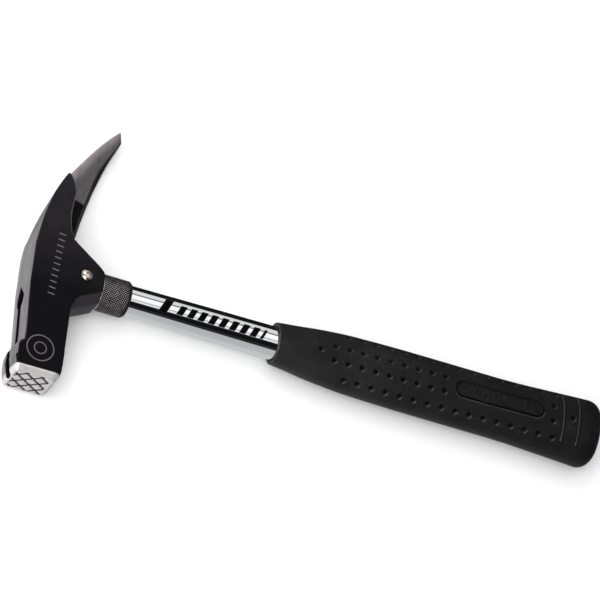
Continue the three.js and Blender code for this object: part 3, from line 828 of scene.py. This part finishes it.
class Shader:
    """A small helper that adds and links a material's nodes."""

    def __init__(self, name):
        self.material = bpy.data.materials.new(name)
        self.material.use_nodes = True
        self.tree = self.material.node_tree
        self.surface = self.tree.nodes["Principled BSDF"]

    def node(self, kind, inputs=None, **settings):
        made = self.tree.nodes.new(kind)
        for key, value in settings.items():
            setattr(made, key, value)
        for key, value in (inputs or {}).items():
            self.put(made.inputs[key], value)
        return made

    def put(self, socket, value):
        if isinstance(value, bpy.types.NodeSocket):
            self.tree.links.new(value, socket)
        elif isinstance(value, bpy.types.Node):
            self.tree.links.new(value.outputs[0], socket)
        else:
            socket.default_value = value

    def math(self, operation, *values):
        made = self.node("ShaderNodeMath", operation=operation)
        for socket, value in zip(made.inputs, values):
            self.put(socket, value)
        return made.outputs[0]

    def times(self, a, b):
        return self.math("MULTIPLY", a, b)

    def ramp(self, value, low, high, to_low=0.0, to_high=1.0):
        made = self.node("ShaderNodeMapRange", {
            "Value": value, "From Min": low, "From Max": high, "To Min": to_low, "To Max": to_high,
        })
        return made.outputs[0]

    def mix(self, share, a, b):
        made = self.node("ShaderNodeMix", data_type="RGBA")
        self.put(made.inputs[0], share)
        self.put(made.inputs[6], a)
        self.put(made.inputs[7], b)
        return made.outputs[2]

    def attribute(self, name):
        return self.node("ShaderNodeAttribute", attribute_name=name).outputs["Fac"]

    def place(self, scale=(1, 1, 1)):
        """Position on the object in millimetres from the origin, stretched by scale."""
        where = self.node("ShaderNodeTexCoord").outputs["Object"]
        moved = self.node(
            "ShaderNodeVectorMath", {0: where, 1: tuple(ORIGIN)}, operation="SUBTRACT")
        factor = tuple(1 / MM * s for s in scale)
        scaled = self.node("ShaderNodeVectorMath", {0: moved, 1: factor}, operation="MULTIPLY")
        return scaled.outputs[0]

    def axes(self):
        """The X, Y and Z of that position."""
        return self.node("ShaderNodeSeparateXYZ", {0: self.place()}).outputs

    def noise(self, place, scale, detail=3.0, rough=0.5):
        return self.node("ShaderNodeTexNoise", {
            "Vector": place, "Scale": scale, "Detail": detail, "Roughness": rough,
        }).outputs["Fac"]

    def bump(self, height, distance, strength=1.0, normal=None):
        made = self.node("ShaderNodeBump", {
            "Height": height, "Distance": distance * MM, "Strength": strength,
        })
        if normal is not None:
            self.put(made.inputs["Normal"], normal)
        return made.outputs[0]

    def set(self, **values):
        for key, value in values.items():
            self.put(self.surface.inputs[key.replace("_", " ")], value)


def band(s, value, middle, half, soft=0.12):
    """One inside a band of a value, and zero outside it."""
    away = s.math("ABSOLUTE", s.math("SUBTRACT", value, middle))
    return s.ramp(away, half + soft, half - soft)


STROKE_PITCH = 1.9
STROKES_REACH = 21
STROKES_X = -17.3
RINGS_PLACE = (-19.6, -51)
RINGS = ((7.6, 0.3), (3.4, 0.28))


def etched_marks(s):
    """Plain etched ornament on the near cheek: a row of strokes and two thin rings."""
    x, y, z = s.axes()
    # strokes in a leaning column beside the pin
    u = s.math("ADD", s.times(y, 0.995), s.times(x, 0.1))
    v = s.math("SUBTRACT", x, s.times(y, 0.05))
    cell = s.math("PINGPONG", s.math("ADD", u, 100), STROKE_PITCH)
    strokes = band(s, cell, STROKE_PITCH, 0.32, 0.1)
    strokes = s.times(strokes, band(s, u, 0.5, STROKES_REACH))
    strokes = s.times(strokes, band(s, v, STROKES_X, 1.9))
    # two rings on the poll
    offsets = [s.math("SUBTRACT", at, centre) for at, centre in zip((x, y), RINGS_PLACE)]
    away = s.math("SQRT", s.math("ADD", *[s.times(d, d) for d in offsets]))
    rings = [band(s, away, radius, half, 0.1) for radius, half in RINGS]
    marks = s.math("MAXIMUM", strokes, s.math("MAXIMUM", *rings))
    return s.times(marks, s.ramp(z, CHEEK - 0.5, CHEEK - 0.3))


def head_material():
    """Satin black lacquer over a forging, ground bare on the top, the face and the spike."""
    s = Shader("lacquer_and_ground_steel")
    bare = s.attribute("bare")
    face = s.attribute("face")
    grooves = s.attribute("grooves")
    edge = s.attribute("edge")
    # forging texture and wear
    mottle = s.noise(s.place(), 0.09, 4)
    peel = s.noise(s.place(), 1.3, 2)
    chips = s.noise(s.place(), 0.8, 5, 0.7)
    worn = s.times(s.ramp(edge, 0.55, 1.0), s.ramp(chips, 0.5, 0.62))
    marks = etched_marks(s)
    # grinding lines run along the head
    lines = s.noise(s.place((1, 0.03, 1)), 0.8, 4, 0.7)
    cross = s.noise(s.place((0.6, 0.6, 0.6)), 0.35, 3)
    flank_sheen = s.attribute("flank_sheen")
    _, y, z = s.axes()
    paint = s.mix(mottle, (0.0018, 0.0016, 0.0024, 1), (0.0042, 0.0038, 0.005, 1))
    # painted sheen: the near cheek's lacquer is lighter towards the tooth
    cheek_sheen = s.times(s.ramp(y, -12, 32), s.ramp(z, CHEEK - 3, CHEEK - 1))
    cheek_sheen = s.times(cheek_sheen, s.ramp(mottle, 0.35, 0.6, 0.7, 1))
    paint = s.mix(cheek_sheen, paint, (0.017, 0.0155, 0.0195, 1))
    # painted sheen on the boss's flanks: greyer than the cheek, lighter on the wall than on the
    # near chamfer
    chamfer = s.ramp(z, BOSS_WALL_Z - 0.3, BOSS_WALL_Z + 0.5)
    boss_sheen_colour = s.mix(chamfer, (0.062, 0.058, 0.066, 1), (0.036, 0.033, 0.041, 1))
    boss_sheen_colour = s.mix(s.ramp(mottle, 0.4, 0.6, 0, 0.3), boss_sheen_colour, (0.02, 0.019, 0.023, 1))
    paint = s.mix(flank_sheen, paint, boss_sheen_colour)
    paint = s.mix(s.times(marks, 0.8), paint, (0.17, 0.155, 0.155, 1))
    paint = s.mix(s.times(worn, 0.3), paint, (0.12, 0.115, 0.115, 1))
    steel = s.mix(s.ramp(lines, 0.4, 0.62), (0.13, 0.122, 0.13, 1), (0.43, 0.405, 0.42, 1))
    steel = s.mix(s.ramp(cross, 0.45, 0.75, 0, 0.7), steel, (0.34, 0.32, 0.33, 1))
    streaks = s.noise(s.place((0.5, 0.05, 1.2)), 0.9, 3, 0.6)
    steel = s.mix(s.ramp(streaks, 0.42, 0.6, 0.5, 0), steel, (0.12, 0.11, 0.118, 1))
    # painted light and shade: the ground steel is lighter towards the far cheek and darker towards
    # the near one
    steel = s.mix(s.ramp(z, -8, -4, 0.65, 0), steel, (0.47, 0.45, 0.465, 1))
    steel = s.mix(s.ramp(z, 4, 8, 0, 0.3), steel, (0.17, 0.155, 0.163, 1))
    grain = s.noise(s.place((0.4, 0.15, 0.4)), 1.6, 5)
    spike = s.mix(grain, (0.09, 0.082, 0.084, 1), (0.16, 0.148, 0.15, 1))
    # painted highlights on the spike's ground face
    spike_highlight = s.times(s.attribute("spike_highlight"), s.ramp(cross, 0.3, 0.7, 0.75, 1))
    spike = s.mix(spike_highlight, spike, (0.34, 0.31, 0.315, 1))
    steel = s.mix(s.attribute("spike"), steel, spike)
    bright = s.mix(s.noise(s.place(), 0.5, 4), (0.6, 0.565, 0.555, 1), (0.78, 0.75, 0.73, 1))
    bright = s.mix(s.attribute("lands"), bright, (0.66, 0.6, 0.63, 1))
    steel = s.mix(face, steel, bright)
    steel = s.mix(grooves, steel, (0.006, 0.006, 0.007, 1))
    colour = s.mix(bare, paint, steel)
    paint_rough = s.ramp(mottle, 0.3, 0.7, 0.33, 0.43)
    steel_rough = s.ramp(lines, 0.3, 0.7, 0.28, 0.44)
    rough = s.node("ShaderNodeMix", data_type="FLOAT")
    s.put(rough.inputs[0], bare)
    s.put(rough.inputs[2], paint_rough)
    s.put(rough.inputs[3], steel_rough)
    soft = s.bump(peel, 0.035, 0.6)
    scratched = s.bump(s.times(lines, bare), 0.06, 0.7, soft)
    normal = s.bump(marks, -0.06, 0.8, scratched)
    metal = s.math("SUBTRACT", 1.0, s.times(face, 0.45))
    metal = s.times(s.times(metal, bare), s.ramp(grooves, 0, 1, 1, 0.1))
    s.set(Base_Color=colour, Metallic=metal, Roughness=rough.outputs[0], Normal=normal)
    s.set(IOR=1.14)
    return s.material


PRINT_RADIUS = 9.2
BARS_X, BARS_REACH = 82.2, 26.2
BLOCK_X, BLOCK_REACH = 49.5, 2.4


def chrome_material():
    """Bright chrome plate with a printed band of plain slanted bars between two rules."""
    s = Shader("printed_chrome")
    x, y, z = s.axes()
    turn = s.math("ARCTAN2", y, z)
    arc = s.times(turn, PRINT_RADIUS)
    lean = s.math("SUBTRACT", x, s.times(arc, 0.4))
    cell = s.math("PINGPONG", lean, 3.1)
    bars = s.ramp(cell, 1.15, 1.3)
    bars = s.times(bars, band(s, arc, -1.5, 2.9, 0.1))
    bars = s.times(bars, band(s, lean, BARS_X, BARS_REACH, 0.1))
    block = s.times(band(s, lean, BLOCK_X, BLOCK_REACH, 0.1), band(s, arc, -1.2, 4.4, 0.1))
    print_mask = s.math("MAXIMUM", bars, block)
    haze = s.noise(s.place((0.05, 1, 1)), 1.2, 4)
    specks = s.noise(s.place(), 6, 2)
    colour = s.mix(haze, (0.76, 0.77, 0.79, 1), (0.84, 0.84, 0.85, 1))
    colour = s.mix(print_mask, colour, (0.004, 0.004, 0.005, 1))
    rough = s.math("ADD", s.ramp(haze, 0.3, 0.7, 0.04, 0.09), s.times(print_mask, 0.3))
    normal = s.bump(haze, 0.01, 0.25)
    normal = s.bump(specks, 0.003, 0.2, normal)
    s.set(Base_Color=colour, Metallic=1.0, Roughness=rough, Normal=normal)
    return s.material


def collar_material():
    s = Shader("blackened_knurl")
    depth = s.attribute("depth")
    stain = s.noise(s.place(), 0.35, 4)
    x, y, _ = s.axes()
    # the knurl's crests are worn bright; painted shade darkens them towards the side facing the
    # spike, and they are darker near the plain end
    crest_wear_and_shade = s.times(s.ramp(depth, 0.3, 0.04), s.ramp(stain, 0.35, 0.6, 0.55, 1))
    crest_wear_and_shade = s.times(crest_wear_and_shade, s.ramp(y, 9, 1, 0.15, 1))
    crest_wear_and_shade = s.times(crest_wear_and_shade, s.ramp(x, COLLAR_END - 1, COLLAR_END - 3, 0.12, 1))
    base = s.mix(stain, (0.002, 0.0018, 0.0018, 1), (0.006, 0.005, 0.005, 1))
    colour = s.mix(crest_wear_and_shade, base, (0.62, 0.57, 0.59, 1))
    s.set(Base_Color=colour, Metallic=0.9, Roughness=s.ramp(stain, 0.3, 0.7, 0.34, 0.5))
    s.set(Normal=s.bump(s.noise(s.place(), 4, 3), 0.02, 0.5))
    return s.material


def rubber_material():
    """Moulded rubber: a fine leathery grain with a little dust in it."""
    s = Shader("grained_rubber")
    cells = s.node(
        "ShaderNodeTexVoronoi", {"Vector": s.place(), "Scale": 1.1}, feature="DISTANCE_TO_EDGE")
    grain = s.ramp(cells.outputs["Distance"], 0.0, 0.35)
    fine = s.noise(s.place(), 3.4, 3, 0.6)
    broad = s.noise(s.place(), 0.05, 3)
    colour = s.mix(broad, (0.003, 0.0028, 0.0028, 1), (0.0052, 0.0048, 0.0048, 1))
    colour = s.mix(s.ramp(fine, 0.45, 0.75, 0, 0.4), colour, (0.012, 0.0115, 0.0115, 1))
    x = s.axes()[0]
    # painted sheen: the rubber is lighter towards the front of the grip
    front_sheen = s.times(s.ramp(x, 260, 130), s.ramp(broad, 0.35, 0.65, 0.4, 1))
    colour = s.mix(s.times(front_sheen, 0.9), colour, (0.02, 0.0195, 0.0205, 1))
    # darker past the rings, towards the butt
    colour = s.mix(s.ramp(x, 300, 306), colour, (0.0008, 0.0008, 0.001, 1))
    specks = s.ramp(s.noise(s.place(), 1.1, 2, 0.6), 0.56, 0.68)
    speckled = s.ramp(s.noise(s.place((0.3, 1, 1)), 0.09, 2), 0.45, 0.6)
    specks = s.times(specks, speckled)
    colour = s.mix(s.times(specks, 0.7), colour, (0.045, 0.043, 0.045, 1))
    # painted shade: the dimples, the badge's groove and the ring grooves are coloured near black
    hole = s.attribute("hole")
    colour = s.mix(hole, colour, (0.0008, 0.0008, 0.0008, 1))
    colour = s.mix(s.attribute("glint"), colour, (0.1, 0.097, 0.102, 1))
    normal = s.bump(grain, 0.3, 1.0)
    normal = s.bump(fine, 0.22, 1.0, normal)
    rough = s.math("ADD", s.ramp(fine, 0.3, 0.7, 0.28, 0.42), s.times(hole, 0.4))
    s.set(Base_Color=colour, Roughness=rough, Normal=normal)
    s.set(IOR=1.24)
    return s.material


def polished_material():
    s = Shader("polished_pin")
    swirl = s.noise(s.place((1, 1, 0.2)), 2.2, 4)
    stain = s.ramp(s.noise(s.place(), 0.55, 3), 0.52, 0.6)
    colour = s.mix(swirl, (0.42, 0.37, 0.33, 1), (0.66, 0.6, 0.55, 1))
    s.set(Base_Color=s.mix(s.times(stain, 0.8), colour, (0.06, 0.05, 0.045, 1)))
    s.set(Metallic=1.0, Roughness=s.ramp(swirl, 0.3, 0.7, 0.08, 0.2))
    s.set(Normal=s.bump(swirl, 0.05, 0.6))
    return s.material


def magnet_material():
    s = Shader("plated_magnet")
    stain = s.noise(s.place(), 0.8, 4)
    s.set(Base_Color=s.mix(stain, (0.12, 0.12, 0.125, 1), (0.24, 0.235, 0.235, 1)), Metallic=0.9)
    s.set(Roughness=s.ramp(stain, 0.3, 0.7, 0.3, 0.5), Normal=s.bump(stain, 0.03, 0.4))
    return s.material


def plastic_material():
    s = Shader("moulded_plastic")
    grain = s.noise(s.place(), 2.4, 3)
    s.set(Base_Color=s.mix(grain, (0.012, 0.012, 0.013, 1), (0.02, 0.02, 0.022, 1)))
    s.set(Roughness=s.ramp(grain, 0.3, 0.7, 0.4, 0.55), Normal=s.bump(grain, 0.03, 0.4))
    return s.material


def wood_material():
    s = Shader("turned_hardwood")
    growth = s.node("ShaderNodeTexWave", {
        "Vector": s.place((0.06, 1, 1)), "Scale": 0.35, "Distortion": 3.0, "Detail": 3.0,
    }).outputs["Fac"]
    pores = s.noise(s.place((0.05, 1, 1)), 3, 4)
    colour = s.mix(growth, (0.3, 0.17, 0.08, 1), (0.5, 0.33, 0.18, 1))
    colour = s.mix(s.ramp(pores, 0.55, 0.7), colour, (0.2, 0.11, 0.05, 1))
    s.set(Base_Color=colour, Roughness=s.ramp(pores, 0.3, 0.7, 0.5, 0.7))
    s.set(Normal=s.bump(pores, 0.05, 0.5))
    return s.material


# ---- stage -----------------------------------------------------------------------------------

CAMERA_PLACE = (-557.23, -1134.13, 1892.80)
CAMERA_RIGHT = (0.91577814, 0.09473631, 0.39035297)
CAMERA_UP = (-0.27272455, 0.86011408, 0.43107435)
CAMERA_BACK = (-0.29490969, -0.50122730, 0.81351058)


def camera():
    data = bpy.data.cameras.new("camera")
    data.lens = 250
    data.sensor_width = 36
    data.clip_end = 20
    view = bpy.data.objects.new("camera", data)
    bpy.context.scene.collection.objects.link(view)
    turn = Matrix((CAMERA_RIGHT, CAMERA_UP, CAMERA_BACK)).transposed().to_4x4()
    place = Vector(ORIGIN) + Vector(CAMERA_PLACE) * MM
    view.matrix_world = Matrix.Translation(place) @ turn
    bpy.context.scene.camera = view


def floor():
    size = 3
    mesh = bpy.data.meshes.new("floor")
    corners = [(-size, -size, 0), (size, -size, 0), (size, size, 0), (-size, size, 0)]
    mesh.from_pydata(corners, [], [(0, 1, 2, 3)])
    plane = bpy.data.objects.new("floor", mesh)
    plane.location.z = CAD_BOUNDS[0][2] - 0.0002
    plane.visible_glossy = False
    bpy.context.scene.collection.objects.link(plane)
    s = Shader("pale_floor")
    s.set(Base_Color=(0.9, 0.9, 0.9, 1), Roughness=0.9)
    s.set(Specular_IOR_Level=0.0, Emission_Color=(1, 1, 1, 1), Emission_Strength=0.12)
    mesh.materials.append(s.material)


def area_light(name, place, target, size, power):
    data = bpy.data.lights.new(name, "AREA")
    data.shape = "RECTANGLE"
    data.size, data.size_y = size
    data.energy = power
    lamp = bpy.data.objects.new(name, data)
    lamp.location = place
    lamp.rotation_euler = (Vector(target) - Vector(place)).to_track_quat("-Z", "Y").to_euler()
    bpy.context.scene.collection.objects.link(lamp)


def studio():
    """A pale room for bright metal to reflect: bands along X, and a bright card past the head.

    It dims past the butt.
    """
    world = bpy.data.worlds.new("studio")
    bpy.context.scene.world = world
    world.use_nodes = True
    tree = world.node_tree
    where = tree.nodes.new("ShaderNodeTexCoord").outputs["Generated"]
    parts = tree.nodes.new("ShaderNodeSeparateXYZ")
    tree.links.new(where, parts.inputs[0])

    def calc(operation, a, b):
        made = tree.nodes.new("ShaderNodeMath")
        made.operation = operation
        for socket, value in zip(made.inputs, (a, b)):
            if isinstance(value, bpy.types.NodeSocket):
                tree.links.new(value, socket)
            else:
                socket.default_value = value
        return made.outputs[0]

    def clamped(zero_at, one_at, least=0.0):
        """Runs from a least value to one between two places along X."""
        made = tree.nodes.new("ShaderNodeMapRange")
        for key, value in (("From Min", zero_at), ("From Max", one_at), ("To Min", least)):
            made.inputs[key].default_value = value
        tree.links.new(parts.outputs[0], made.inputs["Value"])
        return made.outputs[0]

    back = calc("MULTIPLY", parts.outputs[1], -1.0)
    height = calc("ARCTAN2", parts.outputs[2], back)
    ramp = tree.nodes.new("ShaderNodeValToRGB")
    turn = calc("DIVIDE", calc("ADD", height, math.pi), TAU)
    tree.links.new(turn, ramp.inputs[0])
    stops = [
        (0.0, 0.01), (0.15, 0.01), (0.16, 0.6), (0.25, 0.7), (0.33, 0.78), (0.44, 0.62),
        (0.536, 0.6), (0.546, 0.01), (0.575, 0.03), (0.61, 0.004), (0.675, 0.012), (0.688, 1.2),
        (0.708, 1.15), (0.715, 0.5), (0.728, 0.5), (0.736, 1.25), (0.818, 1.4), (0.826, 0.24),
        (0.85, 0.24), (0.86, 1.0), (0.936, 0.9), (0.946, 0.01), (1.0, 0.01),
    ]
    elements = ramp.color_ramp.elements
    while len(elements) < len(stops):
        elements.new(0.5)
    for element, (at, level) in zip(elements, stops):
        element.position = at
        element.color = (level, level, level + 0.01, 1)
    card = calc("MULTIPLY", clamped(-0.08, -0.3), 1.15)
    level = calc("MULTIPLY", calc("MAXIMUM", ramp.outputs[0], card), clamped(0.62, 0.42, 0.3))
    level = calc("MAXIMUM", level, calc("MULTIPLY", clamped(0.42, 0.62), 0.14))
    background = tree.nodes["Background"]
    tree.links.new(level, background.inputs[0])
    background.inputs[1].default_value = 0.9


# ---- build -----------------------------------------------------------------------------------

bpy.context.scene.view_settings.view_transform = "Standard"
camera()
studio()
floor()
area_light("key", (-0.95, -0.75, 1.6), (0, 0, 0), (1.2, 1.0), 15)
area_light("front", (-0.7, -1.3, 0.9), (0, 0, 0), (0.9, 0.6), 6)
area_light("fill", (-0.6, 0.9, 1.5), (0.05, 0, 0), (1.2, 0.9), 5)

plastic = plastic_material()
show(head(), "head_forging", head_material())
show(pin(), "head_pin", polished_material())
show(magnet(), "nail_magnet", magnet_material())
show(magnet_cup(), "magnet_cup", plastic)
show(collar(), "knurled_collar", collar_material())
show(tube(), "handle_tube", chrome_material())
show(core(), "tube_core", wood_material())
show(end_plug(), "tube_end_plug", plastic)
show(grip(), "grip_sleeve", rubber_material())
